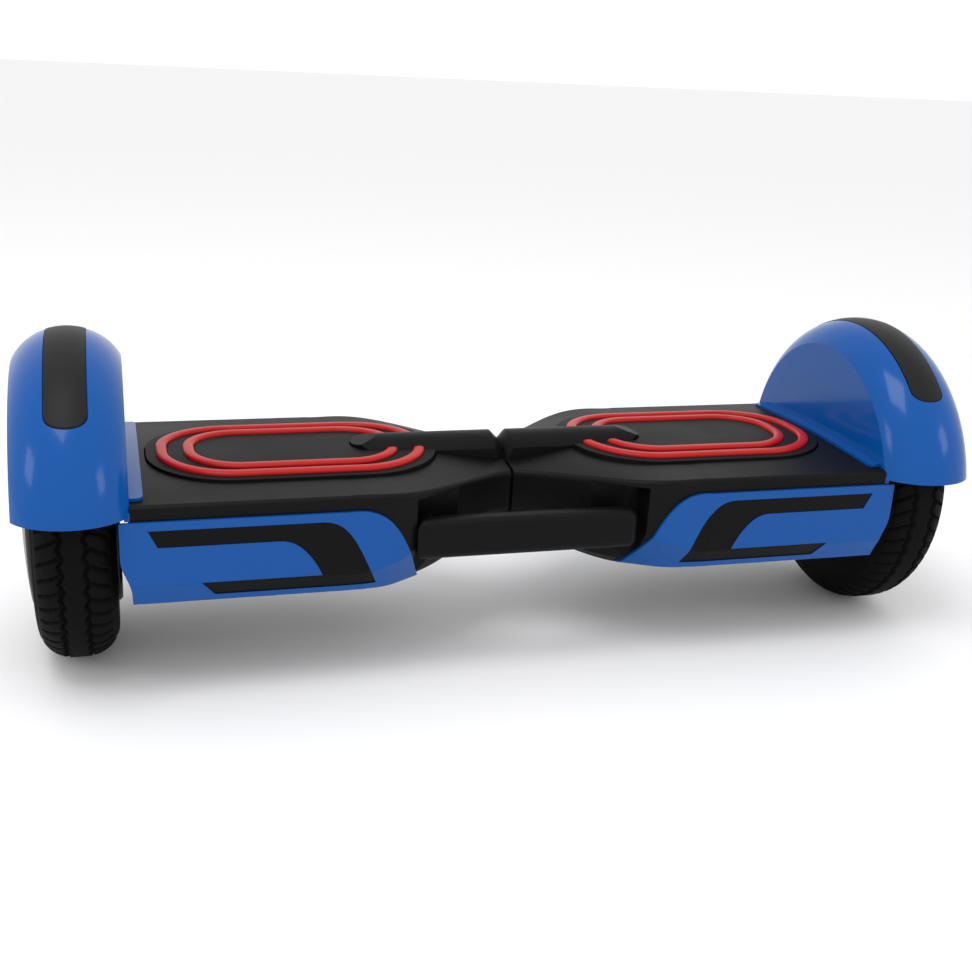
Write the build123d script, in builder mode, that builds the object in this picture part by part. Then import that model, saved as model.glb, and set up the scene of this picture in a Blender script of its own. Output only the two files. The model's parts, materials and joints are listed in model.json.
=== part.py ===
from build123d import *

import os
from math import cos, radians, sin, sqrt

os.makedirs("parts", exist_ok=True)

# Millimetres. +X runs along the wheel axle to the rider's right-hand wheel, the front
# (the side with the carry handle) faces -Y, +Z is up. The origin is on the ground,
# under the middle of the centre split. Pieces that come in pairs are made on the
# right-hand half and mirrored to the left.

# ---------------------------------------------------------------- driving dimensions
half_length = 292.0
tyre_radius = 90.0
tyre_width = 45.6
tyre_shoulder = 19.0
rim_radius = 58.0

fender_width = 60.5
fender_rise = 16.0
fender_drop = 17.0
fender_bottom = 21.0
fender_wall = 3.0
strip_width = 22.0
strip_angle = 49.0
strip_depth = 1.4

deck_half_depth = 87.5
deck_top_z = 119.5
deck_edge_z = 116.5
belly_z = 50.0
belly_half_depth = 56.0
waist_half_depth = 32.0
waist_top_z = 113.0
waist_edge_z = 110.3
waist_belly_z = 69.0
split_gap = 2.0
wall = 2.4
parting_z = 66.0
lower_start = 46.0

mat_half_length = 87.5
mat_half_depth = 57.0
mat_corner = 50.0
mat_middle_x = 132.5
mat_proud = 1.8
recess_floor_z = 114.0
ring_height = 2.4
ring_width = 7.0

ridge_half_width = 15.0
ridge_length = 96.0
ridge_top_z = 127.5

panel_thickness = 2.0
panel_top_z = 108.0
inlay_depth = 1.3
inlay_set = 0.5

handle_height = 24.5
handle_depth = 16.0
handle_top_z = 98.5
handle_front_y = -86.0
pocket_half_length = 72.0
pocket_back_y = -62.0
pocket_top_z = 111.5
pocket_floor_z = 60.0
return_width = 14.0
button_spot = (-126.0, 44.0)
socket_spot = (-156.0, 44.0)
handle_screw_x = -62.0
handle_screw_zs = (80.5, 92.0)
button_radius = 6.5
socket_radius = 8.5

axle_radius = 8.5
journal_radius = 6.0
stator_radius = 47.0
tube_radius = 13.0
tube_bore = 10.0
bush_wall = 2.5
housing_wall = 4.5
plate_z = 93.0
plate_thickness = 4.0
post_radius = 5.0
screw_radius = 1.6

# ------------------------------------------------------------------ named clearances
pad_gap = 0.8
pad_travel = 1.5
running_gap = 0.05
air_gap = 1.0
free_gap = 0.4
handle_end_gap = 6.0
rest_gap = 0.35

# --------------------------------------------------------------- derived positions
axle_z = tyre_radius
crown_radius = tyre_radius + fender_rise
hull_end = half_length - fender_width
wheel_mid = hull_end + fender_width / 2
tyre_outer = wheel_mid + tyre_width / 2
split_x = split_gap / 2
waist_end = 112.0
plate_top = plate_z + plate_thickness


def save(piece, name):
    """Label a finished piece and write it as its own STEP file."""
    piece.part.label = name
    export_step(piece.part, f"parts/{name}.step")


def save_pair(right_piece, name):
    """Write a right-hand piece and its mirror image on the left-hand half."""
    save(right_piece, f"right_{name}")
    with BuildPart() as left_piece:
        mirror(right_piece.part, about=Plane.YZ)
    save(left_piece, f"left_{name}")


def blend(x, start, end, low, high):
    """Ease from low at x = start to high at x = end, level outside them."""
    share = min(max((x - start) / (end - start), 0.0), 1.0)
    return low + (high - low) * share * share * (3 - 2 * share)


# --------------------------------------------------------------------- hull envelope
# The hull's section has six corners a side: deck edge, turn-under, tuck and belly edge.
# From the waist outwards each corner eases to its full-size place.
turn_height = 21.0
tuck_height = 8.0
waist_turn_z = 87.0
waist_tuck_z = 73.0
edge_round = 3.2


def hull_corners(x):
    """Corners of half the section at x, as (depth, height), from deck edge to belly."""
    depth = blend(x, -10, 88, waist_half_depth, deck_half_depth)
    edge = (depth, blend(x, 0, 95, waist_edge_z, deck_edge_z))
    turn = (depth - 1.0, blend(x, 50, 110, waist_turn_z, belly_z + turn_height))
    tuck = (
        blend(x, 5, 108, waist_half_depth - 6.0, deck_half_depth - 7.5),
        blend(x, -8, 60, waist_tuck_z, belly_z + tuck_height),
    )
    floor = (
        blend(x, -5, 104, waist_half_depth - 12.0, belly_half_depth),
        blend(x, -10, 74, waist_belly_z, belly_z),
    )
    return edge, turn, tuck, floor


def hull_section(x, grow):
    """Closed section of the hull at x, grown outwards by grow."""
    edge, turn, tuck, floor = hull_corners(x)
    crown = blend(x, 0, 60, waist_top_z, deck_top_z)
    front = [(-depth, height) for depth, height in (floor, tuck, turn, edge)]
    with BuildSketch(Plane.YZ.offset(x)) as section:
        with BuildLine():
            ThreePointArc(front[-1], (0, crown), edge)
            Polyline(edge, turn, tuck, floor, front[0])
            Polyline(*front)
        make_face()
        fillet(section.vertices(), edge_round)
        if grow:
            offset(amount=grow, mode=Mode.REPLACE)
    return section.sketch.face()


def hull(grow, start, end):
    """Right-hand hull between two stations, lofted through the waist, then straight."""
    stations = [start, 14, 28, 42, 56, 70, 84, 98, waist_end]
    with BuildPart() as envelope:
        loft([hull_section(x, grow) for x in stations])
        extrude(hull_section(waist_end, grow), amount=end - waist_end)
    return envelope.part


panel_end = hull_end + 6.0
hull_outer = hull(0, split_x, hull_end)
hull_inner = hull(-wall, split_x + wall, hull_end - wall)
hull_skin = hull(panel_thickness, split_x, panel_end)
hull_recess = hull(panel_thickness - inlay_depth, split_x, panel_end)
hull_inlay = hull(panel_thickness - inlay_set, split_x, panel_end)

# The pocket in the front of the waist that the carry handle lies in.
pocket_round = 7.0
with BuildPart() as pocket:
    with BuildSketch(Plane.XY.offset(pocket_floor_z)):
        with Locations((0, pocket_back_y - 30)):
            RectangleRounded(2 * pocket_half_length, 60, pocket_round)
    extrude(amount=pocket_top_z - pocket_floor_z)

liner_back_y = pocket_back_y + wall
with BuildPart() as pocket_liner:
    with BuildSketch(Plane.XY.offset(pocket_floor_z - wall)):
        with Locations((0, liner_back_y - 30)):
            RectangleRounded(2 * (pocket_half_length + wall), 60, pocket_round + wall)
    extrude(amount=pocket_top_z - pocket_floor_z + 2 * wall)


def mat_outline(grow):
    """The foot mat's outline, grown outwards by grow, without its slot."""
    with BuildSketch() as outline:
        with Locations((mat_middle_x, 0)):
            RectangleRounded(
                2 * (mat_half_length + grow), 2 * (mat_half_depth + grow), mat_corner + grow
            )
    return outline.sketch


def ridge_outline(grow):
    """Plan of the ridge cover: straight sides and a round outer end."""
    half = ridge_half_width + grow
    with BuildSketch() as outline:
        with Locations(((ridge_length - ridge_half_width) / 2, 0)):
            Rectangle(ridge_length - ridge_half_width, 2 * half)
        with Locations((ridge_length - ridge_half_width, 0)):
            Circle(half)
    return outline.sketch


# Everything the foot mat's recess takes out of the deck, and the floor under it.
recess_skin = 2.2
with BuildPart() as mat_recess:
    with BuildSketch(Plane.XY.offset(recess_floor_z)):
        add(mat_outline(pad_gap))
        add(ridge_outline(0), mode=Mode.SUBTRACT)
    extrude(amount=20)

with BuildPart() as recess_floor:
    with BuildSketch(Plane.XY.offset(recess_floor_z - recess_skin)):
        add(mat_outline(pad_gap + wall))
    extrude(amount=20)

with BuildPart() as cavity:
    add(hull_inner)
    add(recess_floor.part, mode=Mode.SUBTRACT)
    add(pocket_liner.part, mode=Mode.SUBTRACT)

# Where the frame's posts meet the lower shell, and where the pads press their switches.
post_spots = [(x, y) for x in (105.0, 204.0) for y in (-46.0, 46.0)]
plunger_xs = (mat_middle_x - 45.0, mat_middle_x + 45.0)
plunger_radius = 3.0

# The lower shell takes what lies under the parting line, outside the waist.
with BuildPart() as lower_zone:
    with BuildSketch(Plane.XY):
        with Locations(((lower_start + half_length) / 2, 0)):
            Rectangle(half_length - lower_start, 4 * deck_half_depth)
    extrude(amount=parting_z)

# --------------------------------------------------------------------- upper shell
with BuildPart() as upper_shell:
    add(hull_outer)
    add(lower_zone.part, mode=Mode.SUBTRACT)
    add(cavity.part, mode=Mode.SUBTRACT)
    add(pocket.part, mode=Mode.SUBTRACT)
    add(mat_recess.part, mode=Mode.SUBTRACT)
    with Locations(*[(x, 0, recess_floor_z) for x in plunger_xs]):
        Hole(plunger_radius + free_gap, depth=recess_skin + 1)
    # The pivot tube passes the inner end wall on the axle line.
    with BuildSketch(Plane.YZ):
        with Locations((0, axle_z)):
            Circle(tube_radius + free_gap)
    extrude(amount=3 * wall, mode=Mode.SUBTRACT)
    # The motor axle passes the outer end wall.
    with BuildSketch(Plane.YZ.offset(hull_end)):
        with Locations((0, axle_z)):
            Circle(axle_radius + free_gap)
    extrude(amount=-3 * wall, mode=Mode.SUBTRACT)
save(upper_shell, "right_upper_shell")

# The left upper shell also takes the carry handle's screws.
with BuildPart() as left_upper_shell:
    mirror(upper_shell.part, about=Plane.YZ)
    with BuildSketch(Plane.XZ.offset(-liner_back_y)):
        with Locations(*[(handle_screw_x, z) for z in handle_screw_zs]):
            Circle(screw_radius + free_gap)
    extrude(amount=2 * wall, mode=Mode.SUBTRACT)
save(left_upper_shell, "left_upper_shell")

# --------------------------------------------------------------------- lower shell
seat_height = 4.0
head_radius = 3.8
head_depth = 2.4
seat_top_z = belly_z + wall + seat_height
with BuildPart() as lower_shell:
    add(hull_outer)
    add(lower_zone.part, mode=Mode.INTERSECT)
    add(cavity.part, mode=Mode.SUBTRACT)
    add(pocket.part, mode=Mode.SUBTRACT)
    # Screw seats, counterbored from below.
    with BuildSketch(Plane.XY.offset(belly_z + wall / 2)):
        with Locations(*post_spots):
            Circle(head_radius + wall)
    extrude(amount=wall / 2 + seat_height)
    with BuildSketch(Plane.XY.offset(belly_z)):
        with Locations(*post_spots):
            Circle(head_radius)
    extrude(amount=head_depth, mode=Mode.SUBTRACT)
    with BuildSketch(Plane.XY.offset(belly_z)):
        with Locations(*post_spots):
            Circle(screw_radius + free_gap)
    extrude(amount=20, mode=Mode.SUBTRACT)
save(lower_shell, "right_lower_shell")

# The left lower shell also has the holes of the power button and the charge socket.
with BuildPart() as left_lower_shell:
    mirror(lower_shell.part, about=Plane.YZ)
    with BuildSketch(Plane.XY.offset(belly_z)):
        with Locations(button_spot):
            Circle(button_radius + free_gap)
        with Locations(socket_spot):
            Circle(socket_radius)
    extrude(amount=wall + 1, mode=Mode.SUBTRACT)
save(left_lower_shell, "left_lower_shell")

# ------------------------------------------------------------------------- fenders
# The crown is part of an ellipse turned about the axle, cut off where it meets the
# flat inner wall, so the two meet at a sharp arris.
half_fender = fender_width / 2
ellipse_a = half_fender * 1.11
ellipse_b = fender_drop / (1 - sqrt(1 - (half_fender / ellipse_a) ** 2))
lip_height = 14.0
flange_width = 7.5
flange_thickness = 1.8
flange_half_length = 79.0
flange_round = 4.0
strip_gap = 0.5
strip_proud = 0.3
crown_edge_radius = crown_radius - fender_drop
axle_line = Axis((0, 0, axle_z), (1, 0, 0))


def crown_sketch(top, bottom, half):
    """Section of the crown between two offsets from its surface, 2 * half wide."""
    steps = [half * share for share in (-1, -0.92, -0.75, -0.4, 0, 0.4, 0.75, 0.92, 1)]
    drops = [ellipse_b * (1 - sqrt(1 - (x / ellipse_a) ** 2)) for x in steps]
    crown = [(wheel_mid + x, axle_z + crown_radius - drop) for x, drop in zip(steps, drops)]
    upper = [(x, z + top) for x, z in crown]
    lower = [(x, z + bottom) for x, z in crown]
    with BuildSketch(Plane.XZ) as section:
        with BuildLine():
            Spline(*upper)
            Spline(*lower)
            Line(upper[0], lower[0])
            Line(upper[-1], lower[-1])
        make_face()
    return section.sketch


def strip_outline(grow):
    """Plan of the crown's inset strip, whose round ends look round on the slope."""
    end_length = strip_width / 2 * cos(radians(strip_angle))
    straight = crown_radius * sin(radians(strip_angle)) - end_length
    half = strip_width / 2 + grow
    with BuildSketch(Plane.XY.offset(axle_z)) as outline:
        with Locations((wheel_mid, 0)):
            Rectangle(2 * half, 2 * straight)
        with Locations((wheel_mid, straight), (wheel_mid, -straight)):
            Ellipse(half, end_length + grow)
    return outline.sketch


with BuildPart() as strip_groove:
    add(crown_sketch(4, -strip_depth, strip_width / 2 + 2))
    revolve(axis=axle_line)
    extrude(strip_outline(strip_gap), amount=2 * crown_radius, mode=Mode.INTERSECT)

with BuildPart() as flange:
    extrude(hull_section(hull_end, flange_thickness), amount=-flange_width)
    extrude(hull_section(hull_end, 0), amount=-flange_width, mode=Mode.SUBTRACT)
    with BuildSketch(Plane.XY.offset(axle_z)):
        with Locations((hull_end, 0)):
            RectangleRounded(2 * flange_width, 2 * flange_half_length, flange_round)
    extrude(amount=crown_radius, mode=Mode.INTERSECT)

with BuildPart() as fender:
    add(crown_sketch(0, -fender_wall, half_fender))
    revolve(axis=axle_line)
    # Flat inner wall, and the outer lip that hangs from the crown's edge.
    with BuildSketch(Plane.YZ.offset(hull_end)):
        with Locations((0, axle_z)):
            Circle(crown_edge_radius)
    extrude(amount=fender_wall)
    with BuildSketch(Plane.YZ.offset(half_length)):
        with Locations((0, axle_z)):
            Circle(crown_edge_radius)
            Circle(crown_edge_radius - lip_height, mode=Mode.SUBTRACT)
    extrude(amount=-fender_wall)
    split(bisect_by=Plane.XY.offset(axle_z + fender_bottom), keep=Keep.TOP)
    add(strip_groove.part, mode=Mode.SUBTRACT)
    add(flange.part)
    # The inner wall reaches down to the panels beside the hull's end.
    with BuildSketch(Plane.XY.offset(panel_top_z + free_gap)):
        with Locations((hull_end + fender_wall / 2, 0)):
            Rectangle(fender_wall, 2 * deck_half_depth)
    extrude(amount=fender_bottom + 2 - (panel_top_z - axle_z))
save_pair(fender, "fender")

with BuildPart() as fender_strip:
    add(crown_sketch(strip_proud, -strip_depth, strip_width / 2 + 1))
    revolve(axis=axle_line)
    extrude(strip_outline(0), amount=2 * crown_radius, mode=Mode.INTERSECT)
save_pair(fender_strip, "fender_strip")

# ------------------------------------------------------------------ panels and inlays
# One panel each side of a half, in the hull's own section; the outlines are drawn in
# the XZ plane, seen from the front.
panel_bottom_z = belly_z + tuck_height
panel_curve_x = 107.0
panel_tip = (65.0, panel_bottom_z - 4.0)
inlay_top_z = panel_top_z - 5.0
inlay_bar = 10.0
inlay_floor_z = panel_bottom_z + 4.0
front_plane = Plane.XZ.offset(deck_half_depth + 20)
front_reach = 70.0

with BuildSketch(front_plane) as panel_outline:
    with BuildLine():
        curve_top = (panel_curve_x, panel_top_z)
        Spline(
            curve_top,
            (86.0, panel_top_z - 9.5),
            (77.5, panel_top_z - 24.0),
            panel_tip,
            tangents=((-1, 0), (-0.4, -0.9)),
        )
        Polyline(panel_tip, (100.0, panel_bottom_z), (hull_end, panel_bottom_z))
        Spline(
            (hull_end, panel_bottom_z),
            (hull_end + 1.5, panel_bottom_z + 14),
            (panel_end, panel_bottom_z + 30),
            tangents=((0, 1), (0, 1)),
        )
        Polyline((panel_end, panel_bottom_z + 30), (panel_end, panel_top_z), curve_top)
    make_face()

with BuildSketch(front_plane) as inlay_outline:
    with BuildLine():
        outer_foot = (95.5, inlay_floor_z)
        outer_bend = (128.0, inlay_top_z)
        inner_bend = (152.0, inlay_top_z - inlay_bar)
        inner_foot = (127.5, inlay_floor_z + 9.0)
        Spline(
            outer_bend,
            (111.5, inlay_top_z - 8.5),
            (103.0, inlay_top_z - 24.0),
            outer_foot,
            tangents=((-1, 0), (-0.4, -0.92)),
        )
        Polyline(outer_foot, (187.0, inlay_floor_z), (194.5, inlay_floor_z + 9.0), inner_foot)
        Spline(
            inner_foot,
            (137.5, inlay_top_z - inlay_bar - 6.5),
            inner_bend,
            tangents=((0.4, 0.92), (1, 0)),
        )
        Polyline(inner_bend, (217.5, inlay_top_z - inlay_bar), (222.5, inlay_top_z), outer_bend)
    make_face()

with BuildPart() as panel_end_void:
    extrude(hull_section(hull_end, 0), amount=2 * (panel_end - hull_end))

with BuildPart() as inlay_recess:
    add(hull_skin)
    add(hull_recess, mode=Mode.SUBTRACT)
    extrude(inlay_outline.sketch, amount=-front_reach, mode=Mode.INTERSECT)

with BuildPart() as front_panel:
    add(hull_skin)
    extrude(panel_outline.sketch, amount=-front_reach, mode=Mode.INTERSECT)
    add(hull_outer, mode=Mode.SUBTRACT)
    add(panel_end_void.part, mode=Mode.SUBTRACT)
    add(inlay_recess.part, mode=Mode.SUBTRACT)
save_pair(front_panel, "front_panel")

with BuildPart() as rear_panel:
    mirror(front_panel.part, about=Plane.XZ)
save_pair(rear_panel, "rear_panel")

with BuildPart() as panel_inlays:
    add(inlay_recess.part)
    add(hull_inlay, mode=Mode.INTERSECT)
    mirror(about=Plane.XZ)
save_pair(panel_inlays, "panel_inlays")

# ------------------------------------------------------------------------ foot pads
mat_top_z = deck_top_z + mat_proud
mat_edge_z = mat_top_z - 1.6
mat_bottom_z = recess_floor_z + pad_travel + 0.3
ring_groove = 1.0
ring_sizes = ((78.0, 48.0, 42.0), (62.0, 35.5, 31.0))


def mat_crown(grow):
    """Solid under the foot mat's crowned top, raised by grow."""
    reach = mat_half_depth + pad_gap
    with BuildPart() as crown:
        with BuildSketch(Plane.YZ.offset(mat_middle_x - mat_half_length)):
            with BuildLine():
                ThreePointArc(
                    (-reach, mat_edge_z + grow), (0, mat_top_z + grow), (reach, mat_edge_z + grow)
                )
                Polyline(
                    (reach, mat_edge_z + grow),
                    (reach, mat_bottom_z),
                    (-reach, mat_bottom_z),
                    (-reach, mat_edge_z + grow),
                )
            make_face()
        extrude(amount=2 * mat_half_length)
    return crown.part


with BuildSketch(Plane.XY.offset(mat_bottom_z)) as ring_outlines:
    with Locations((mat_middle_x, 0)):
        for half_x, half_y, corner in ring_sizes:
            edge = ring_width / 2
            RectangleRounded(2 * (half_x + edge), 2 * (half_y + edge), corner + edge)
            RectangleRounded(2 * (half_x - edge), 2 * (half_y - edge), corner - edge, mode=Mode.SUBTRACT)
    add(ridge_outline(pad_gap), mode=Mode.SUBTRACT)

with BuildPart() as mat_rings:
    extrude(ring_outlines.sketch, amount=30)
    add(mat_crown(ring_height), mode=Mode.INTERSECT)
    add(mat_crown(-ring_groove), mode=Mode.SUBTRACT)
save_pair(mat_rings, "mat_rings")

with BuildPart() as foot_mat:
    with BuildSketch(Plane.XY.offset(mat_bottom_z)):
        add(mat_outline(0))
        add(ridge_outline(pad_gap), mode=Mode.SUBTRACT)
    extrude(amount=20)
    add(mat_crown(0), mode=Mode.INTERSECT)
    add(mat_rings.part, mode=Mode.SUBTRACT)
save_pair(foot_mat, "foot_mat")

board_z = 101.0
board_thickness = 1.6
sensor_height = 2.2
plunger_end_z = board_z + board_thickness + sensor_height + pad_travel + 0.3
with BuildPart() as pad_plungers:
    with Locations(*[(x, 0, plunger_end_z) for x in plunger_xs]):
        Cylinder(
            plunger_radius,
            mat_bottom_z - plunger_end_z,
            align=(Align.CENTER, Align.CENTER, Align.MIN),
        )
save_pair(pad_plungers, "pad_plungers")

buffer_radius = 4.0
with BuildPart() as pad_buffers:
    with Locations((mat_middle_x, 0, recess_floor_z)):
        with GridLocations(110.0, 76.0, 2, 2):
            Cylinder(
                buffer_radius,
                mat_bottom_z - recess_floor_z,
                align=(Align.CENTER, Align.CENTER, Align.MIN),
            )
save_pair(pad_buffers, "pad_buffers")

# ---------------------------------------------------------------------- ridge cover
ridge_side_z = ridge_top_z - 8.0
ridge_bevel = 5.0
ridge_slope = 17.0
with BuildPart() as ridge_cover:
    with BuildSketch(Plane.YZ.offset(split_x)):
        with BuildLine():
            ThreePointArc(
                (-ridge_half_width, ridge_side_z), (0, ridge_top_z), (ridge_half_width, ridge_side_z)
            )
            Polyline(
                (ridge_half_width, ridge_side_z),
                (ridge_half_width, waist_edge_z - 5),
                (-ridge_half_width, waist_edge_z - 5),
                (-ridge_half_width, ridge_side_z),
            )
        make_face()
    extrude(amount=ridge_length)
    chamfer(ridge_cover.faces().sort_by(Axis.X)[0].edges().sort_by(Axis.Z)[-1], ridge_bevel)
    # The outer end slopes down to the mat.
    with BuildSketch(Plane.XZ.offset(-ridge_half_width - 1)):
        with BuildLine():
            Polyline(
                (ridge_length - ridge_slope, ridge_top_z + 0.5),
                (ridge_length + 1, ridge_top_z + 0.5),
                (ridge_length + 1, deck_top_z + mat_proud + 1.0),
                close=True,
            )
        make_face()
    extrude(amount=2 * ridge_half_width + 2, mode=Mode.SUBTRACT)
    with BuildSketch(Plane.XY.offset(waist_edge_z - 10)):
        add(ridge_outline(0))
    extrude(amount=40, mode=Mode.INTERSECT)
    add(hull_outer, mode=Mode.SUBTRACT)
save_pair(ridge_cover, "ridge_cover")

# --------------------------------------------------------------------------- frames
plate_half_depth = 68.0
plate_start = 82.0
neck_start = 74.0
housing_start = 30.0
housing_end = 66.0
web_start = 44.0
web_end = 86.0
bush_length = 9.0
bush_radius = tube_radius + bush_wall
housing_radius = bush_radius + housing_wall
saddle_start = 196.0
saddle_end = 226.0
saddle_half_depth = 22.0
saddle_top_z = 104.0
cap_bottom_z = 76.0
clamp_screw_radius = 2.5
clamp_xs = (saddle_start + 7.5, saddle_end - 7.5)
clamp_y = 15.5
deck_post_spots = [(x, y) for x in (90.0, 175.0) for y in (-40.0, 40.0)]
board_post_spots = [(x, y) for x in (100.0, 165.0) for y in (-15.0, 15.0)]

with BuildPart() as frame:
    with BuildSketch(Plane.XY.offset(plate_z)):
        with Locations(((plate_start + 224.0) / 2, 0)):
            RectangleRounded(224.0 - plate_start, 2 * plate_half_depth, 6)
        with Locations(((neck_start + plate_start) / 2 + 1, 0)):
            Rectangle(plate_start - neck_start + 2, 2 * 50.0)
        with Locations((neck_start, 0)):
            Rectangle(24, 2 * 12.0, mode=Mode.SUBTRACT)
    extrude(amount=plate_thickness)
    # Housing that holds the pivot bushes, with two webs out to the plate.
    with BuildSketch(Plane.YZ.offset(housing_start)):
        with Locations((0, axle_z)):
            Circle(housing_radius)
    extrude(amount=housing_end - housing_start)
    with BuildSketch(Plane.XY.offset(axle_z - 10)):
        with Locations(*[((web_start + web_end) / 2, s * 23.0) for s in (-1, 1)]):
            Rectangle(web_end - web_start, 10)
    extrude(amount=plate_top - axle_z + 10)
    with BuildSketch(Plane.YZ.offset(housing_start)):
        with Locations((0, axle_z)):
            Circle(bush_radius)
    extrude(amount=neck_start - housing_start, mode=Mode.SUBTRACT)
    # Saddle over the motor axle.
    with BuildSketch(Plane.XY.offset(axle_z)):
        with Locations(((saddle_start + saddle_end) / 2, 0)):
            Rectangle(saddle_end - saddle_start, 2 * saddle_half_depth)
    extrude(amount=saddle_top_z - axle_z)
    with BuildSketch(Plane.YZ.offset(saddle_start - 8)):
        with Locations((0, axle_z)):
            Circle(axle_radius + running_gap)
    extrude(amount=60, mode=Mode.SUBTRACT)
    with BuildSketch(Plane.XY.offset(axle_z)):
        with Locations(*[(x, s * clamp_y) for x in clamp_xs for s in (-1, 1)]):
            Circle(clamp_screw_radius)
    extrude(amount=12, mode=Mode.SUBTRACT)
    # Posts down to the lower shell, up to the deck, and up to the sensor board.
    with BuildSketch(Plane.XY.offset(seat_top_z)):
        with Locations(*post_spots):
            Circle(post_radius)
            Circle(screw_radius, mode=Mode.SUBTRACT)
    extrude(amount=plate_z - seat_top_z)
    with BuildSketch(Plane.XY.offset(plate_top)):
        with Locations(*deck_post_spots):
            Circle(post_radius)
    extrude(amount=recess_floor_z - recess_skin - plate_top)
    with BuildSketch(Plane.XY.offset(plate_top)):
        with Locations(*board_post_spots):
            Circle(3.0)
    extrude(amount=board_z - plate_top)
save(frame, "right_frame")

# The left frame also has the hole of the pin that fixes the pivot tube.
pin_radius = 2.5
pin_x = -48.0
with BuildPart() as left_frame:
    mirror(frame.part, about=Plane.YZ)
    with Locations((pin_x, 0, axle_z)):
        Cylinder(
            pin_radius + running_gap,
            2 * housing_radius,
            align=(Align.CENTER, Align.CENTER, Align.MIN),
            mode=Mode.SUBTRACT,
        )
save(left_frame, "left_frame")

with BuildPart() as axle_clamp:
    with BuildSketch(Plane.XY.offset(cap_bottom_z)):
        with Locations(((saddle_start + saddle_end) / 2, 0)):
            RectangleRounded(saddle_end - saddle_start, 2 * saddle_half_depth, 3)
    extrude(amount=axle_z - cap_bottom_z)
    with BuildSketch(Plane.YZ.offset(saddle_start - 1)):
        with Locations((0, axle_z)):
            Circle(axle_radius + running_gap)
    extrude(amount=40, mode=Mode.SUBTRACT)
    with BuildSketch(Plane.XY.offset(cap_bottom_z)):
        with Locations(*[(x, s * clamp_y) for x in clamp_xs for s in (-1, 1)]):
            Circle(clamp_screw_radius)
    extrude(amount=20, mode=Mode.SUBTRACT)
save_pair(axle_clamp, "axle_clamp")

with BuildPart() as clamp_screws:
    with Locations(*[(x, s * clamp_y, cap_bottom_z) for x in clamp_xs for s in (-1, 1)]):
        Cylinder(
            clamp_screw_radius - running_gap, 24, align=(Align.CENTER, Align.CENTER, Align.MIN)
        )
        Cylinder(4.2, 3.5, align=(Align.CENTER, Align.CENTER, Align.MAX))
save_pair(clamp_screws, "clamp_screws")

with BuildPart() as case_screws:
    with Locations(*[(x, y, belly_z + head_depth) for x, y in post_spots]):
        Cylinder(screw_radius - running_gap, 16, align=(Align.CENTER, Align.CENTER, Align.MIN))
        Cylinder(head_radius - free_gap, head_depth - 0.4, align=(Align.CENTER, Align.CENTER, Align.MAX))
save_pair(case_screws, "case_screws")

with BuildPart() as sensor_board:
    with BuildSketch(Plane.XY.offset(board_z)):
        with Locations((mat_middle_x, 0)):
            RectangleRounded(112, 40, 3)
    extrude(amount=board_thickness)
    with BuildSketch(Plane.XY.offset(board_z + board_thickness)):
        with Locations(*[(x, 0) for x in plunger_xs]):
            Rectangle(9, 9)
        with Locations((mat_middle_x, 6), (mat_middle_x + 14, -6)):
            Rectangle(8, 8)
    extrude(amount=sensor_height)
save_pair(sensor_board, "sensor_board")

# ----------------------------------------------------------------------- centre pivot
collar_start = housing_start - 6.0
tube_end = 71.0
ring_groove_radius = tube_radius - 1.0
with BuildPart() as pivot_tube:
    with BuildSketch(Plane.YZ.offset(-housing_end)):
        with Locations((0, axle_z)):
            Circle(tube_radius)
            Circle(tube_bore, mode=Mode.SUBTRACT)
    extrude(amount=housing_end + tube_end)
    with BuildSketch(Plane.YZ.offset(collar_start)):
        with Locations((0, axle_z)):
            Circle(tube_radius + 3)
            Circle(tube_radius, mode=Mode.SUBTRACT)
    extrude(amount=housing_start - free_gap - collar_start)
    with BuildSketch(Plane.YZ.offset(housing_end + free_gap)):
        with Locations((0, axle_z)):
            Circle(tube_radius)
            Circle(ring_groove_radius, mode=Mode.SUBTRACT)
    extrude(amount=2, mode=Mode.SUBTRACT)
    with Locations((pin_x, 0, axle_z)):
        Cylinder(
            pin_radius + running_gap,
            2 * tube_radius,
            align=(Align.CENTER, Align.CENTER, Align.MIN),
            mode=Mode.SUBTRACT,
        )
save(pivot_tube, "pivot_tube")

with BuildPart() as tube_ring:
    with BuildSketch(Plane.YZ.offset(housing_end + free_gap)):
        with Locations((0, axle_z)):
            Circle(tube_radius + 3.5)
            Circle(ring_groove_radius, mode=Mode.SUBTRACT)
    extrude(amount=2)
save(tube_ring, "tube_ring")

with BuildPart() as tube_pin:
    with Locations((pin_x, 0, axle_z + tube_bore + 0.5)):
        Cylinder(
            pin_radius, housing_radius - tube_bore - 2, align=(Align.CENTER, Align.CENTER, Align.MIN)
        )
save(tube_pin, "tube_pin")

# Two flanged bushes a side; the right-hand half turns on them.
with BuildPart() as pivot_bushes:
    for start in (housing_start, housing_end - bush_length):
        with BuildSketch(Plane.YZ.offset(start)):
            with Locations((0, axle_z)):
                Circle(bush_radius - running_gap)
                Circle(tube_radius + running_gap, mode=Mode.SUBTRACT)
        extrude(amount=bush_length)
save(pivot_bushes, "right_pivot_bushes")

# On the left the tube sits in a plain sleeve, pinned through the housing.
with BuildPart() as pivot_sleeve:
    with BuildSketch(Plane.YZ.offset(-housing_start)):
        with Locations((0, axle_z)):
            Circle(bush_radius - running_gap)
            Circle(tube_radius + running_gap, mode=Mode.SUBTRACT)
    extrude(amount=housing_start - housing_end)
    with Locations((pin_x, 0, axle_z)):
        Cylinder(
            pin_radius + running_gap,
            2 * housing_radius,
            align=(Align.CENTER, Align.CENTER, Align.MIN),
            mode=Mode.SUBTRACT,
        )
save(pivot_sleeve, "pivot_sleeve")

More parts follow.
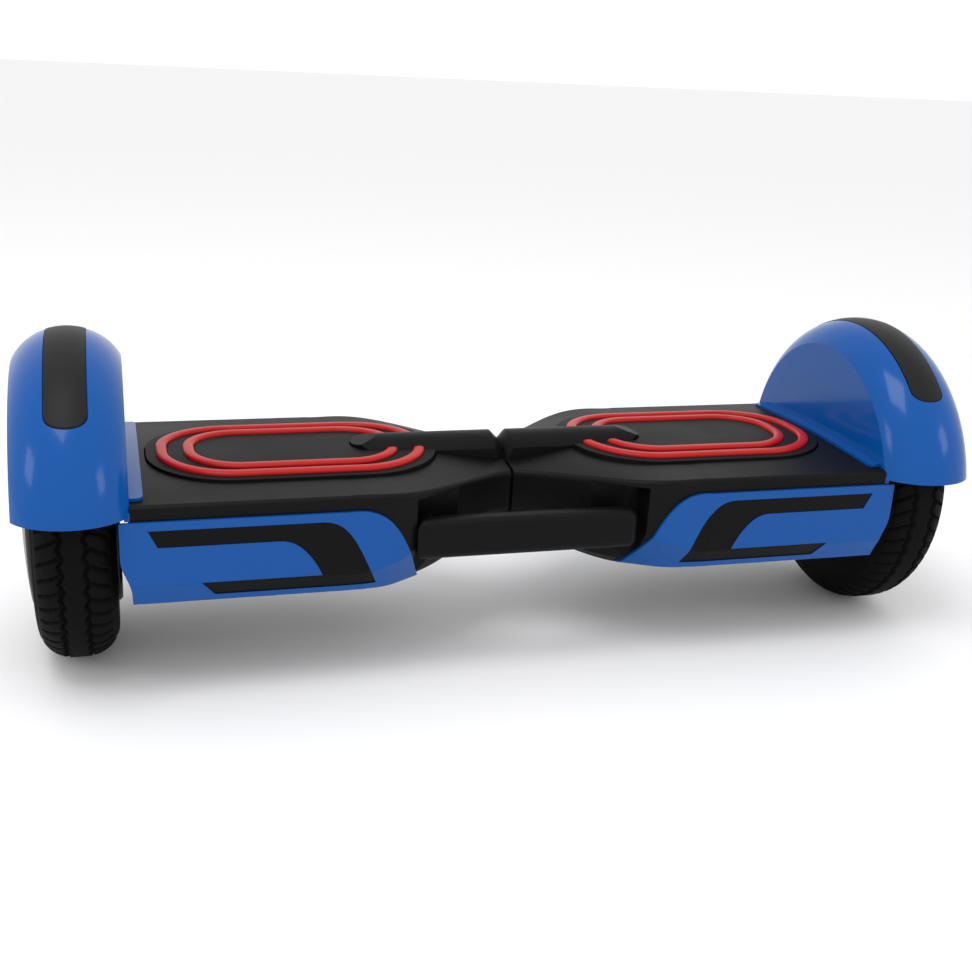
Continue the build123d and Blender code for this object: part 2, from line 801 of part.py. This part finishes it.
# ------------------------------------------------------------------- wheels and motors
axle_start = 192.0
shoulder_start = 246.0
shoulder_end = 278.0
axle_end = 287.0
shoulder_radius = 12.0
stator_start = 250.0
stator_end = 274.0
slot_count = 18
slot_width = 4.0
slot_root = 24.0
rotor_start = 243.0
rotor_end = 281.0
cover_start = 236.5
cover_crown_x = 291.6
cover_flat = 8.0
inner_bearing = 17.5
outer_bearing = 14.0
bearing_length = 5.0

with BuildPart() as axle:
    for start, end, radius in (
        (axle_start, shoulder_start, axle_radius),
        (shoulder_start, shoulder_end, shoulder_radius),
        (shoulder_end, axle_end, journal_radius),
    ):
        with BuildSketch(Plane.YZ.offset(start)):
            with Locations((0, axle_z)):
                Circle(radius)
        extrude(amount=end - start)
save_pair(axle, "axle")

with BuildPart() as stator:
    with BuildSketch(Plane.YZ.offset(stator_start)):
        with Locations((0, axle_z)):
            Circle(stator_radius)
            Circle(shoulder_radius + running_gap, mode=Mode.SUBTRACT)
            with PolarLocations((slot_root + stator_radius - 2.5) / 2, slot_count):
                Rectangle(stator_radius - 2.5 - slot_root, slot_width, mode=Mode.SUBTRACT)
            with PolarLocations(stator_radius, slot_count):
                Rectangle(8, 1.6, mode=Mode.SUBTRACT)
    extrude(amount=stator_end - stator_start)
save_pair(stator, "stator")

with BuildPart() as rotor:
    with BuildSketch(Plane.YZ.offset(rotor_start)):
        with Locations((0, axle_z)):
            Circle(rim_radius)
            Circle(stator_radius + air_gap, mode=Mode.SUBTRACT)
    extrude(amount=rotor_end - rotor_start)
save_pair(rotor, "rotor")

with BuildPart() as inner_cover:
    with BuildSketch(Plane.YZ.offset(cover_start)):
        with Locations((0, axle_z)):
            Circle(rim_radius)
            Circle(inner_bearing + running_gap, mode=Mode.SUBTRACT)
    extrude(amount=rotor_start - cover_start)
    chamfer(inner_cover.faces().sort_by(Axis.X)[0].outer_wire().edges(), 1.5)
save_pair(inner_cover, "inner_cover")

with BuildPart() as hub_cover:
    with BuildSketch(Plane.XZ):
        with BuildLine():
            Polyline(
                (rotor_end, axle_z),
                (rotor_end, axle_z + rim_radius),
                (tyre_outer + 1.4, axle_z + rim_radius),
                (tyre_outer + 2.4, axle_z + rim_radius - 1.0),
            )
            ThreePointArc(
                (tyre_outer + 2.4, axle_z + rim_radius - 1.0),
                (cover_crown_x - 1.2, axle_z + rim_radius / 2),
                (cover_crown_x, axle_z + cover_flat),
            )
            Polyline((cover_crown_x, axle_z + cover_flat), (cover_crown_x, axle_z), (rotor_end, axle_z))
        make_face()
    revolve(axis=axle_line)
    with BuildSketch(Plane.YZ.offset(rotor_end)):
        with Locations((0, axle_z)):
            Circle(outer_bearing + running_gap)
    extrude(amount=axle_end + 1 - rotor_end, mode=Mode.SUBTRACT)
save_pair(hub_cover, "hub_cover")

with BuildPart() as bearings:
    for start, outer, bore in (
        (rotor_start - bearing_length, inner_bearing, axle_radius),
        (rotor_end, outer_bearing, journal_radius),
    ):
        with BuildSketch(Plane.YZ.offset(start)):
            with Locations((0, axle_z)):
                Circle(outer)
                Circle(bore + running_gap, mode=Mode.SUBTRACT)
        extrude(amount=bearing_length)
save_pair(bearings, "bearings")

with BuildPart() as tyre:
    with BuildSketch(Plane.XZ) as tyre_section:
        with Locations((wheel_mid, axle_z + (tyre_radius + rim_radius + running_gap) / 2)):
            Rectangle(tyre_width, tyre_radius - rim_radius - running_gap)
        fillet(tyre_section.vertices().sort_by(Axis.Y)[-2:], tyre_shoulder)
    revolve(axis=axle_line)
save_pair(tyre, "tyre")

# ---------------------------------------------------------------------- carry handle
handle_end_round = 6.0
handle_edge_round = 6.5
handle_end = pocket_half_length - handle_end_gap
bar_back_y = handle_front_y + handle_depth
with BuildPart() as carry_handle:
    with BuildSketch(Plane.XY.offset(handle_top_z - handle_height)) as handle_plan:
        with Locations(((handle_end - pocket_half_length) / 2, (handle_front_y + bar_back_y) / 2)):
            Rectangle(pocket_half_length + handle_end, handle_depth)
        with Locations((return_width / 2 - pocket_half_length, (bar_back_y + pocket_back_y) / 2)):
            Rectangle(return_width, pocket_back_y - bar_back_y)
        fillet(handle_plan.vertices().sort_by(Axis.X)[-2:], handle_end_round)
        fillet(handle_plan.vertices().sort_by(Axis.X)[0:2].sort_by(Axis.Y)[-1:], pocket_round)
    extrude(amount=handle_height)
    rims = carry_handle.edges().filter_by(Plane.XY)
    rims = rims.filter_by(lambda rim: rim.center().Y < pocket_back_y - 0.5)
    fillet(rims.filter_by(lambda rim: rim.center().X > -pocket_half_length + 0.5), handle_edge_round)
    # Screw holes in the return arm, from inside the shell.
    with BuildSketch(Plane.XZ.offset(-pocket_back_y)):
        with Locations(*[(handle_screw_x, z) for z in handle_screw_zs]):
            Circle(screw_radius)
    extrude(amount=12, mode=Mode.SUBTRACT)
save(carry_handle, "carry_handle")

with BuildPart() as handle_screws:
    with BuildSketch(Plane.XZ.offset(-liner_back_y)):
        with Locations(*[(handle_screw_x, z) for z in handle_screw_zs]):
            Circle(screw_radius - running_gap)
    extrude(amount=liner_back_y - pocket_back_y + 10)
    with BuildSketch(Plane.XZ.offset(-liner_back_y)):
        with Locations(*[(handle_screw_x, z) for z in handle_screw_zs]):
            Circle(head_radius - free_gap)
    extrude(amount=-2)
save(handle_screws, "handle_screws")

# ------------------------------------------------------------------------ electronics
belly_floor_z = belly_z + wall
with BuildPart() as battery_pack:
    with BuildSketch(Plane.XY.offset(belly_floor_z + rest_gap)):
        with Locations((-137.0, 0)):
            RectangleRounded(94, 62, 4)
    extrude(amount=36)
    fillet(battery_pack.edges().group_by(Axis.Z)[-1], 2)
save(battery_pack, "battery_pack")

board_middle_x = 131.0
with BuildPart() as control_board:
    with BuildSketch(Plane.XY.offset(plate_z - 8)):
        with Locations((board_middle_x, 0)):
            RectangleRounded(84, 76, 3)
    extrude(amount=1.6)
    # Stand-offs up to the frame plate, power transistors and capacitors underneath.
    with BuildSketch(Plane.XY.offset(plate_z - 6.4)):
        with Locations((board_middle_x, 0)):
            with GridLocations(74, 66, 2, 2):
                Circle(3)
    extrude(amount=6.4)
    with BuildSketch(Plane.XY.offset(plate_z - 8)):
        with Locations((board_middle_x - 26, 0)):
            with GridLocations(1, 12.5, 1, 6):
                Rectangle(11, 9)
    extrude(amount=-4.5)
    with BuildSketch(Plane.XY.offset(plate_z - 8)):
        with Locations((board_middle_x + 16, -24), (board_middle_x + 16, 0)):
            Circle(8)
    extrude(amount=-20)
    with BuildSketch(Plane.XY.offset(plate_z - 8)):
        with Locations((board_middle_x + 16, 26)):
            Rectangle(30, 14)
    extrude(amount=-9)
save(control_board, "control_board")

# ------------------------------------------------------ power button and charge socket
button_travel = 1.2
button_collar = 1.6
collar_rim = 1.8
with BuildPart() as power_button:
    with Locations((button_spot[0], button_spot[1], belly_z + 0.6)):
        Cylinder(button_radius, 6.4, align=(Align.CENTER, Align.CENTER, Align.MIN))
    fillet(power_button.edges().group_by(Axis.Z)[0], 0.8)
    with Locations((button_spot[0], button_spot[1], belly_floor_z)):
        Cylinder(button_radius + collar_rim, button_collar, align=(Align.CENTER, Align.CENTER, Align.MIN))
save(power_button, "power_button")

# One moulded block holds the switch over the button and the socket beside it.
socket_depth = 9.0
port_top_z = 72.0
switch_gap = 0.6
with BuildPart() as port_block:
    with BuildSketch(Plane.XY.offset(belly_floor_z)):
        with Locations(((button_spot[0] + socket_spot[0]) / 2, button_spot[1])):
            RectangleRounded(54, 20, 5)
    extrude(amount=port_top_z - belly_floor_z)
    with Locations((socket_spot[0], socket_spot[1], belly_z + 0.5)):
        Cylinder(
            socket_radius - free_gap,
            wall,
            align=(Align.CENTER, Align.CENTER, Align.MIN),
        )
    with Locations((socket_spot[0], socket_spot[1], belly_z)):
        Cylinder(
            socket_radius - 2.5,
            socket_depth,
            align=(Align.CENTER, Align.CENTER, Align.MIN),
            mode=Mode.SUBTRACT,
        )
    with Locations((button_spot[0], button_spot[1], belly_floor_z)):
        Cylinder(
            button_radius + collar_rim + free_gap,
            belly_z + 7 - belly_floor_z + button_travel + switch_gap,
            align=(Align.CENTER, Align.CENTER, Align.MIN),
            mode=Mode.SUBTRACT,
        )
    with Locations((socket_spot[0], socket_spot[1], belly_z + socket_depth)):
        with PolarLocations(3.2, 3):
            Cylinder(0.9, 2.4, align=(Align.CENTER, Align.CENTER, Align.MAX))
save(port_block, "port_block")

# The cable between the halves runs inside the pivot tube, a plug on each end.
cable_radius = 3.0
cable_end = 74.0
grommet_length = 5.0
with BuildPart() as centre_harness:
    with BuildSketch(Plane.YZ.offset(-cable_end)):
        with Locations((0, axle_z)):
            Circle(cable_radius)
    extrude(amount=2 * cable_end)
    # Two grommets hold it in the tube.
    for start in (grommet_length - housing_end, housing_end):
        with BuildSketch(Plane.YZ.offset(start)):
            with Locations((0, axle_z)):
                Circle(tube_bore - running_gap)
        extrude(amount=-grommet_length)
    with Locations((-cable_end, 0, axle_z), (cable_end, 0, axle_z)):
        Box(9, 14, 8)
save(centre_harness, "centre_harness")
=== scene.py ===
# %% [markdown]
# # A self balancing hoverboard
#
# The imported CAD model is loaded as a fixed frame. This lesson gives each of its
# nodes a procedural material, and replaces the nodes whose look needs more than the
# CAD shape: the treaded tyres and the soft raised rings on the foot mats.

import json
from math import radians

import bpy
import numpy as np
from mathutils import Matrix, Vector


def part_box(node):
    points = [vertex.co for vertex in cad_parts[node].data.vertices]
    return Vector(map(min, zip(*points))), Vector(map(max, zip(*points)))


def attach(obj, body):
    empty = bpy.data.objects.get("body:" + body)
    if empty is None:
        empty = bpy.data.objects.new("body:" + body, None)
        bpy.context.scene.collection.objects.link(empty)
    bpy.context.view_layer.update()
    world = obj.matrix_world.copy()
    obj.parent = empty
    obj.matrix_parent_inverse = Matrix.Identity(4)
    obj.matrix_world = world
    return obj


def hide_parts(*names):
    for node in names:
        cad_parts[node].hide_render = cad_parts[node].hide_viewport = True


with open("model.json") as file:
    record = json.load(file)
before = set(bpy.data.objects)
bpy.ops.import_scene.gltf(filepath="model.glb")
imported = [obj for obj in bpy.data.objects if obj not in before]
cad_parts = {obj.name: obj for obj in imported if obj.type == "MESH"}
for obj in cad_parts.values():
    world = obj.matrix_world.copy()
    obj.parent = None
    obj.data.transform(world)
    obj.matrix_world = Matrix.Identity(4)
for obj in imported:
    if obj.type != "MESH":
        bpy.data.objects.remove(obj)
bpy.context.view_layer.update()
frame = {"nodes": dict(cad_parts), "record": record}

# %% [markdown]
# ## Sizes
#
# The sizes are in metres, in the CAD model's frame: +X runs along the axles, the carry
# handle is on the -Y side, and Z is 0 on the ground. Places come from the boxes of the
# CAD nodes, so that they follow the frame.

# %% Sizes and places
tyre_low, tyre_high = (Vector(corner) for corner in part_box("right_tyre"))
tyre_radius = (tyre_high.z - tyre_low.z) / 2
axle_z = (tyre_high.z + tyre_low.z) / 2
tyre_middle = (tyre_high.x + tyre_low.x) / 2
tyre_width = tyre_high.x - tyre_low.x
rim_radius = 0.058
mat_low, mat_high = (Vector(corner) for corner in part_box("right_foot_mat"))
mat_middle = (mat_high.x + mat_low.x) / 2
mat_half_depth = mat_high.y
mat_top = mat_high.z
print("tyre radius and width", round(tyre_radius, 4), round(tyre_width, 4))
print("mat middle and top", round(mat_middle, 4), round(mat_top, 4))

# %% [markdown]
# ## Making surfaces
#
# A new piece is a grid of points. Its columns always close on themselves, because every
# piece here has a closed section; its rows close on themselves on a tyre, and end in
# a flat cap on a mat ring.


# %% Surface helpers
def closed_surface(name, grid, rows_close):
    """Mesh through a grid of points, shaped (rows, columns, 3).

    Quad (i, j) joins points (i, j), (i, j+1), (i+1, j+1) and (i+1, j). Columns wrap
    round; rows wrap round as well where rows_close is true, or end in two caps.
    """
    rows, columns = grid.shape[:2]
    spans = rows if rows_close else rows - 1
    i, j = np.meshgrid(np.arange(spans), np.arange(columns), indexing="ij")
    here, there = i * columns, (i + 1) % rows * columns
    right = (j + 1) % columns
    quads = np.stack([here + j, here + right, there + right, there + j], -1).reshape(-1, 4)
    caps = []
    if not rows_close:
        last = (rows - 1) * columns
        caps = [np.arange(columns)[::-1].tolist(), (last + np.arange(columns)).tolist()]
    mesh = bpy.data.meshes.new(name)
    mesh.from_pydata(grid.reshape(-1, 3).tolist(), [], quads.tolist() + caps)
    mesh.validate()
    smooth = np.ones(len(mesh.polygons), bool)
    smooth[len(quads) :] = False
    mesh.polygons.foreach_set("use_smooth", smooth)
    piece = bpy.data.objects.new(name, mesh)
    bpy.context.collection.objects.link(piece)
    print(name, len(mesh.vertices), "points", len(mesh.polygons), "faces")
    return piece


def smooth_step(value, low, high):
    """0 below low, 1 above high, and an even S-curve between them."""
    share = np.clip((value - low) / (high - low), 0, 1)
    return share * share * (3 - 2 * share)


def volume_sign(piece):
    """Sign of the signed volume: positive where the faces point outwards."""
    mesh = piece.data
    mesh.calc_loop_triangles()
    corners = np.empty(len(mesh.loop_triangles) * 3, int)
    mesh.loop_triangles.foreach_get("vertices", corners)
    points = np.empty(len(mesh.vertices) * 3)
    mesh.vertices.foreach_get("co", points)
    a, b, c = np.moveaxis(points.reshape(-1, 3)[corners].reshape(-1, 3, 3), 1, 0)
    return np.sign(np.einsum("ij,ij->i", a, np.cross(b, c)).sum())


def face_outwards(piece):
    """Turn every face round if the closed surface is inside out."""
    if volume_sign(piece) < 0:
        piece.data.flip_normals()


# %% [markdown]
# ## Shared shader effects
#
# Two node groups hold the effects that several materials share. Each gives only
# a value or a normal; the Principled shader stays in the material.


# %% Node groups
def new_group(name, inputs, outputs):
    """Empty shader group with named sockets; returns it with its two end nodes."""
    group = bpy.data.node_groups.new(name, "ShaderNodeTree")
    for label, kind, default in inputs:
        socket = group.interface.new_socket(name=label, in_out="INPUT", socket_type=kind)
        if default is not None:
            socket.default_value = default
    for label, kind in outputs:
        group.interface.new_socket(name=label, in_out="OUTPUT", socket_type=kind)
    start = group.nodes.new("NodeGroupInput")
    end = group.nodes.new("NodeGroupOutput")
    return group, start, end


FLOAT, VECTOR = "NodeSocketFloat", "NodeSocketVector"

# Moulded grain: fine noise as a bump.
grain, start, end = new_group(
    "moulded_grain",
    [("Vector", VECTOR, None), ("Scale", FLOAT, 900.0), ("Depth", FLOAT, 0.2)],
    [("Normal", VECTOR)],
)
noise = grain.nodes.new("ShaderNodeTexNoise")
noise.inputs["Detail"].default_value = 3.0
bump = grain.nodes.new("ShaderNodeBump")
bump.inputs["Distance"].default_value = 0.0004
grain.links.new(start.outputs["Vector"], noise.inputs["Vector"])
grain.links.new(start.outputs["Scale"], noise.inputs["Scale"])
grain.links.new(start.outputs["Depth"], bump.inputs["Strength"])
grain.links.new(noise.outputs["Fac"], bump.inputs["Height"])
grain.links.new(bump.outputs["Normal"], end.inputs["Normal"])

# Uneven sheen: slow noise between two roughness values.
sheen, start, end = new_group(
    "uneven_sheen",
    [("Vector", VECTOR, None), ("Scale", FLOAT, 12.0), ("Low", FLOAT, 0.3), ("High", FLOAT, 0.4)],
    [("Roughness", FLOAT)],
)
noise = sheen.nodes.new("ShaderNodeTexNoise")
noise.inputs["Detail"].default_value = 4.0
spread = sheen.nodes.new("ShaderNodeMapRange")
spread.inputs["From Min"].default_value = 0.3
spread.inputs["From Max"].default_value = 0.7
sheen.links.new(start.outputs["Vector"], noise.inputs["Vector"])
sheen.links.new(start.outputs["Scale"], noise.inputs["Scale"])
sheen.links.new(noise.outputs["Fac"], spread.inputs["Value"])
sheen.links.new(start.outputs["Low"], spread.inputs["To Min"])
sheen.links.new(start.outputs["High"], spread.inputs["To Max"])
sheen.links.new(spread.outputs["Result"], end.inputs["Roughness"])

print("groups", [group.name for group in bpy.data.node_groups])

# %% [markdown]
# ## Materials
#
# Every slot of the record gets one material: a Principled shader with its colour, an
# uneven sheen and a moulded grain. The gloss of the blue shells comes from a clear coat.


# %% Materials
def add_group(material, group, **values):
    """Group node fed with object coordinates, with its constants set."""
    tree = material.node_tree
    node = tree.nodes.new("ShaderNodeGroup")
    node.node_tree = group
    for label, value in values.items():
        node.inputs[label].default_value = value
    tree.links.new(tree.nodes["place"].outputs["Object"], node.inputs["Vector"])
    return node


def make_material(name, colour, rough, metallic=0.0, coat=0.0, shine=0.5, scale=900.0, depth=0.15):
    """Principled material with uneven sheen between the two roughness values."""
    material = bpy.data.materials.new(name)
    material.use_nodes = True
    tree = material.node_tree
    shader = tree.nodes["Principled BSDF"]
    place = tree.nodes.new("ShaderNodeTexCoord")
    place.name = "place"
    shader.inputs["Base Color"].default_value = (*colour, 1)
    shader.inputs["Metallic"].default_value = metallic
    shader.inputs["Coat Weight"].default_value = coat
    shader.inputs["Coat Roughness"].default_value = 0.06
    shader.inputs["Specular IOR Level"].default_value = shine
    uneven = add_group(material, sheen, Low=rough[0], High=rough[1])
    tree.links.new(uneven.outputs["Roughness"], shader.inputs["Roughness"])
    moulded = add_group(material, grain, Scale=scale, Depth=depth)
    tree.links.new(moulded.outputs["Normal"], shader.inputs["Normal"])
    return material


black = (0.0030, 0.0030, 0.0034)
blue = (0.001, 0.068, 0.29)
materials = {
    "blue_shell": make_material(
        "blue_shell", blue, (0.14, 0.22), coat=0.12, shine=0.15, depth=0.02
    ),
    "black_shell": make_material("black_shell", black, (0.40, 0.50), shine=0.1, depth=0.25),
    "strip_black": make_material(
        "strip_black", (0.007, 0.007, 0.008), (0.42, 0.50), shine=0.16, depth=0.3
    ),
    "mat_black": make_material("mat_black", black, (0.52, 0.64), shine=0.12, depth=0.5),
    "mat_red": make_material("mat_red", (0.40, 0.006, 0.006), (0.30, 0.38), shine=0.2, depth=0.1),
    "inlay_black": make_material(
        "inlay_black", (0.002, 0.002, 0.0024), (0.34, 0.42), shine=0.1, depth=0.2
    ),
    "handle_black": make_material("handle_black", black, (0.38, 0.48), shine=0.1, depth=0.25),
    "tyre_black": make_material(
        "tyre_black", (0.003, 0.003, 0.003), (0.6, 0.75), shine=0.06, depth=0.6
    ),
    "hub_metal": make_material("hub_metal", (0.03, 0.03, 0.032), (0.30, 0.40), metallic=0.6),
    "cast_metal": make_material(
        "cast_metal", (0.5, 0.5, 0.52), (0.42, 0.55), metallic=1.0, depth=0.5
    ),
    "steel": make_material("steel", (0.5, 0.5, 0.52), (0.24, 0.34), metallic=1.0),
    "windings": make_material("windings", (0.55, 0.2, 0.07), (0.3, 0.45), metallic=0.8),
    "bronze": make_material("bronze", (0.5, 0.3, 0.11), (0.3, 0.4), metallic=1.0),
    "inner_plastic": make_material("inner_plastic", (0.03, 0.03, 0.032), (0.4, 0.5)),
    "foam": make_material("foam", (0.06, 0.06, 0.06), (0.8, 0.9), depth=0.8),
    "circuit_green": make_material("circuit_green", (0.01, 0.12, 0.04), (0.2, 0.3)),
    "battery_wrap": make_material("battery_wrap", (0.02, 0.08, 0.26), (0.25, 0.35)),
    "button_grey": make_material("button_grey", (0.2, 0.2, 0.21), (0.35, 0.45)),
    "cable_black": make_material("cable_black", (0.012, 0.012, 0.012), (0.45, 0.55)),
}

slots = {part["node"]: part["material_slot"] for part in frame["record"]["subparts"]}
for name, node in frame["nodes"].items():
    node.data.materials.clear()
    node.data.materials.append(materials[slots[name]])
print(len(materials), "materials on", len(slots), "nodes")

# %% [markdown]
# ## Treaded tyres
#
# The tyre's section runs round a closed loop: bead, side wall, shoulder, tread, and back.
# The tread is cut into it towards the axle: a zigzag groove each side of the
# centre rib, slanted cuts across the blocks, and a thin line on each shoulder.


# %% Tyres
def tyre_section(count):
    """Closed section as across and radius, even along its outline.

    The outline is a flat-based round-topped shape: two quarter ellipses joined by the
    side walls, with the base along the rim.
    """
    half = tyre_width / 2
    shoulder = 0.019
    turn = np.linspace(0, np.pi / 2, 60)
    flat = half - shoulder
    right_x = flat + shoulder * np.sin(turn)
    right_r = tyre_radius - shoulder + shoulder * np.cos(turn)
    across = np.concatenate([-right_x[::-1], right_x, [half], [-half]])
    radius = np.concatenate([right_r[::-1], right_r, [rim_radius], [rim_radius]])
    across = np.append(across, across[0])
    radius = np.append(radius, radius[0])
    length = np.append(0, np.cumsum(np.hypot(np.diff(across), np.diff(radius))))
    wanted = np.linspace(0, length[-1], count, endpoint=False)
    return np.interp(wanted, length, across), np.interp(wanted, length, radius)


def tread_depth(angle, across):
    """Depth of the tread at an angle round the tyre and a distance across it."""
    pitch = 2 * np.pi / 54
    step = angle / pitch
    zigzag = np.abs(step % 1 - 0.5) * 2
    side = np.sign(across)
    reach = np.abs(across)
    groove = 1 - smooth_step(np.abs(reach - 0.0055 - 0.0022 * zigzag), 0.0006, 0.0013)
    lean = (step + 0.5 * (side > 0) + (reach - 0.008) * 55) % 1
    sipe = 1 - smooth_step(np.abs(lean - 0.5), 0.07, 0.13)
    sipe = sipe * smooth_step(reach, 0.0065, 0.0085) * (1 - smooth_step(reach, 0.0175, 0.0195))
    line = 1 - smooth_step(np.abs(reach - 0.0208), 0.0003, 0.0008)
    return np.maximum(np.maximum(0.0030 * groove, 0.0026 * sipe), 0.0008 * line)


def make_tyre(side, sign):
    """Treaded tyre on one side, riding on its wheel in place of the CAD tyre."""
    across, radius = tyre_section(132)
    angle = np.linspace(0, 2 * np.pi, 640, endpoint=False)
    turn, span = np.meshgrid(angle, across, indexing="ij")
    depth = tread_depth(turn, span) * (radius > tyre_radius - 0.016)
    ring = radius[None, :] - depth
    grid = np.stack(
        [sign * tyre_middle + span, ring * np.sin(turn), axle_z + ring * np.cos(turn)], -1
    )
    piece = closed_surface(f"{side}_tread_tyre", grid, True)
    face_outwards(piece)
    piece.data.materials.append(materials["tyre_black"])
    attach(piece, f"{side}_wheel")
    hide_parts(f"{side}_tyre")


make_tyre("left", -1)
make_tyre("right", 1)

# %% [markdown]
# ## Mat rings
#
# Each mat carries two raised rings. A ring's path is a rounded rectangle, and its section
# is a low rounded arch set into the mat. Every line along the ring is trimmed on its own,
# so that both ends are cut flat beside the ridge cover, at whatever slant they reach it.

# %% Rings
path_points = 4000
ring_rows = 260
ring_columns = 28
crown_drop = 0.0016
ring_width = 0.0068
ring_height = 0.0024
ring_root = 0.0009
ring_sizes = ((0.078, 0.048, 0.042), (0.062, 0.0355, 0.031))
ridge_clear = 0.0155


def rounded_rectangle(half_x, half_y, corner, count):
    """Points even along a rounded rectangle, and the unit vectors across its line.

    The corners are quarter circles. The line starts and ends in the middle of the -X
    side, where the ridge cover crosses it.
    """
    turn = np.linspace(0, np.pi / 2, 40)
    corners = []
    for k, (x, y) in enumerate(((-1, 1), (1, 1), (1, -1), (-1, -1))):
        bend = np.pi - k * np.pi / 2 - turn
        centre = np.array([x * (half_x - corner), y * (half_y - corner)])
        corners.append(centre + corner * np.stack([np.cos(bend), np.sin(bend)], -1))
    path = np.concatenate([[[-half_x, 0]], *corners, [[-half_x, 0]]])
    length = np.append(0, np.cumsum(np.hypot(*np.diff(path, axis=0).T)))
    dense = np.linspace(0, length[-1], count)
    points = np.stack([np.interp(dense, length, path[:, k]) for k in (0, 1)], -1)
    along = np.gradient(points, axis=0)
    along /= np.linalg.norm(along, axis=1, keepdims=True)
    return points, np.stack([-along[:, 1], along[:, 0]], -1)


def trimmed(points, count):
    """The part of a ring's line that is clear of the ridge, in count even steps."""
    clear = points[(points[:, 0] > 0) | (np.abs(points[:, 1]) > ridge_clear)]
    length = np.append(0, np.cumsum(np.hypot(*np.diff(clear, axis=0).T)))
    wanted = np.linspace(0, length[-1], count)
    return np.stack([np.interp(wanted, length, clear[:, k]) for k in (0, 1)], -1)


def make_rings(side, sign):
    """The two rings of one mat, riding on its pad in place of the CAD rings."""
    rings = []
    for number, (half_x, half_y, corner) in enumerate(ring_sizes):
        path, across = rounded_rectangle(half_x, half_y, corner, path_points)
        bend = np.linspace(0, 2 * np.pi, ring_columns, endpoint=False)
        wide = ring_width / 2 * np.sign(np.cos(bend)) * np.abs(np.cos(bend)) ** 0.7
        high = np.where(np.sin(bend) > 0, ring_height * np.abs(np.sin(bend)) ** 0.8, -ring_root)
        flat = np.stack([trimmed(path + across * w, ring_rows) for w in wide], 1)
        crown = mat_top - crown_drop * (flat[..., 1] / (mat_half_depth + 0.0008)) ** 2
        grid = np.empty((*flat.shape[:2], 3))
        grid[..., 0] = sign * (mat_middle + flat[..., 0])
        grid[..., 1] = flat[..., 1]
        grid[..., 2] = crown + high[None, :]
        piece = closed_surface(f"{side}_mat_ring_{number + 1}", grid, False)
        face_outwards(piece)
        piece.data.materials.append(materials["mat_red"])
        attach(piece, f"{side}_pad")
        rings.append(piece)
    for piece in rings:
        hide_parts(f"{side}_mat_rings")


make_rings("left", -1)
make_rings("right", 1)

# %% [markdown]
# ## Floor, light and camera
#
# A real board is shown on a white sweep. Here a wide pale floor and a white world do
# the same, with a soft light overhead and two weaker ones at the sides for the gloss.

# %% Floor and light
floor_mesh = bpy.data.meshes.new("floor")
floor_half = 40.0
floor_mesh.from_pydata(
    [
        (-floor_half, -floor_half, 0),
        (floor_half, -floor_half, 0),
        (floor_half, floor_half, 0),
        (-floor_half, floor_half, 0),
    ],
    [],
    [(0, 1, 2, 3)],
)
floor = bpy.data.objects.new("floor", floor_mesh)
bpy.context.collection.objects.link(floor)
floor_material = bpy.data.materials.new("floor_pale")
floor_material.use_nodes = True
floor_shader = floor_material.node_tree.nodes["Principled BSDF"]
floor_shader.inputs["Base Color"].default_value = (0.86, 0.86, 0.87, 1)
floor_shader.inputs["Roughness"].default_value = 0.7
floor_mesh.materials.append(floor_material)

world = bpy.data.worlds.new("studio")
world.use_nodes = True
world.node_tree.nodes["Background"].inputs["Color"].default_value = (1, 1, 1, 1)
world.node_tree.nodes["Background"].inputs["Strength"].default_value = 1.05
bpy.context.scene.world = world


def soft_light(name, place, aim, size, power):
    """Square area light at place, aimed at a point."""
    light = bpy.data.lights.new(name, "AREA")
    light.size = size
    light.energy = power
    lamp = bpy.data.objects.new(name, light)
    lamp.location = place
    lamp.rotation_euler = (Vector(aim) - Vector(place)).to_track_quat("-Z", "Y").to_euler()
    bpy.context.collection.objects.link(lamp)


soft_light("key", (-0.5, -0.5, 1.9), (0, 0, 0.1), 0.9, 13)
soft_light("left_fill", (-1.9, -0.5, 0.9), (0, 0, 0.1), 0.5, 3)
soft_light("right_fill", (1.6, -1.2, 1.0), (0, 0, 0.1), 0.5, 3)
print("lights", [item.name for item in bpy.data.lights])

# %% [markdown]
# ## Camera
#
# The camera stands in front of the board, a little above it and left of its middle. It is
# turned by yaw about Z, tipped down by pitch, and then rolled about its own view.

# %% Camera
camera_place = Vector((-0.2368, -0.7605, 0.3479))
camera_yaw = radians(16.84)
camera_pitch = radians(18.00)
camera_roll = radians(2.66)
camera_data = bpy.data.cameras.new("camera")
camera_data.sensor_width = 36.0
camera_data.lens = 47.53
camera = bpy.data.objects.new("camera", camera_data)
turn = Matrix.Rotation(-camera_yaw, 4, "Z") @ Matrix.Rotation(radians(90) - camera_pitch, 4, "X")
camera.matrix_world = Matrix.Translation(camera_place) @ turn @ Matrix.Rotation(camera_roll, 4, "Z")
bpy.context.collection.objects.link(camera)
bpy.context.scene.camera = camera
bpy.context.scene.view_settings.view_transform = "Standard"
print("camera at", tuple(round(v, 4) for v in camera.location))
